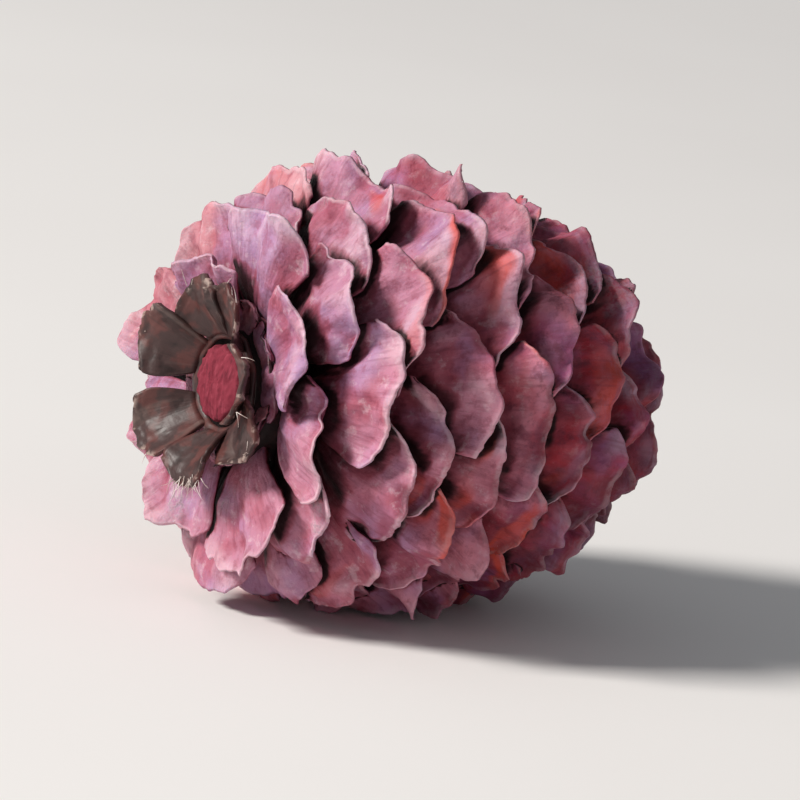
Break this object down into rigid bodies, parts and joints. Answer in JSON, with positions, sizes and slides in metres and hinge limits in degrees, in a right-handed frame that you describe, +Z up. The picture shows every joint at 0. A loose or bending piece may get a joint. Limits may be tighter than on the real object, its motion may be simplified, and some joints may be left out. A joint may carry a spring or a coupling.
{
  "type": "larch cone",
  "caption": "Dried and dyed conifer cone lying on its side: waved woody scales spiral round it, with brown bracts and a stalk stub at one end.",
  "frame": {"origin": "on the ground, under the middle of the bounding box", "axes": "+X along the cone from its stalk end towards its tip, +Z up from the flat spot that it rests on"},
  "size_m": [0.0363, 0.0326, 0.0302],
  "materials": {
    "dyed_scale": "matte dusty pink dye outside, glossy dark red inside",
    "brown_bract": "leathery, slightly glossy",
    "dyed_stub": "matte, fibrous"
  },
  "bodies": {
    "root": {"cone_scales": "dyed_scale", "basal_bracts": "brown_bract", "stalk_stub": "dyed_stub"}
  },
  "joints": []
}
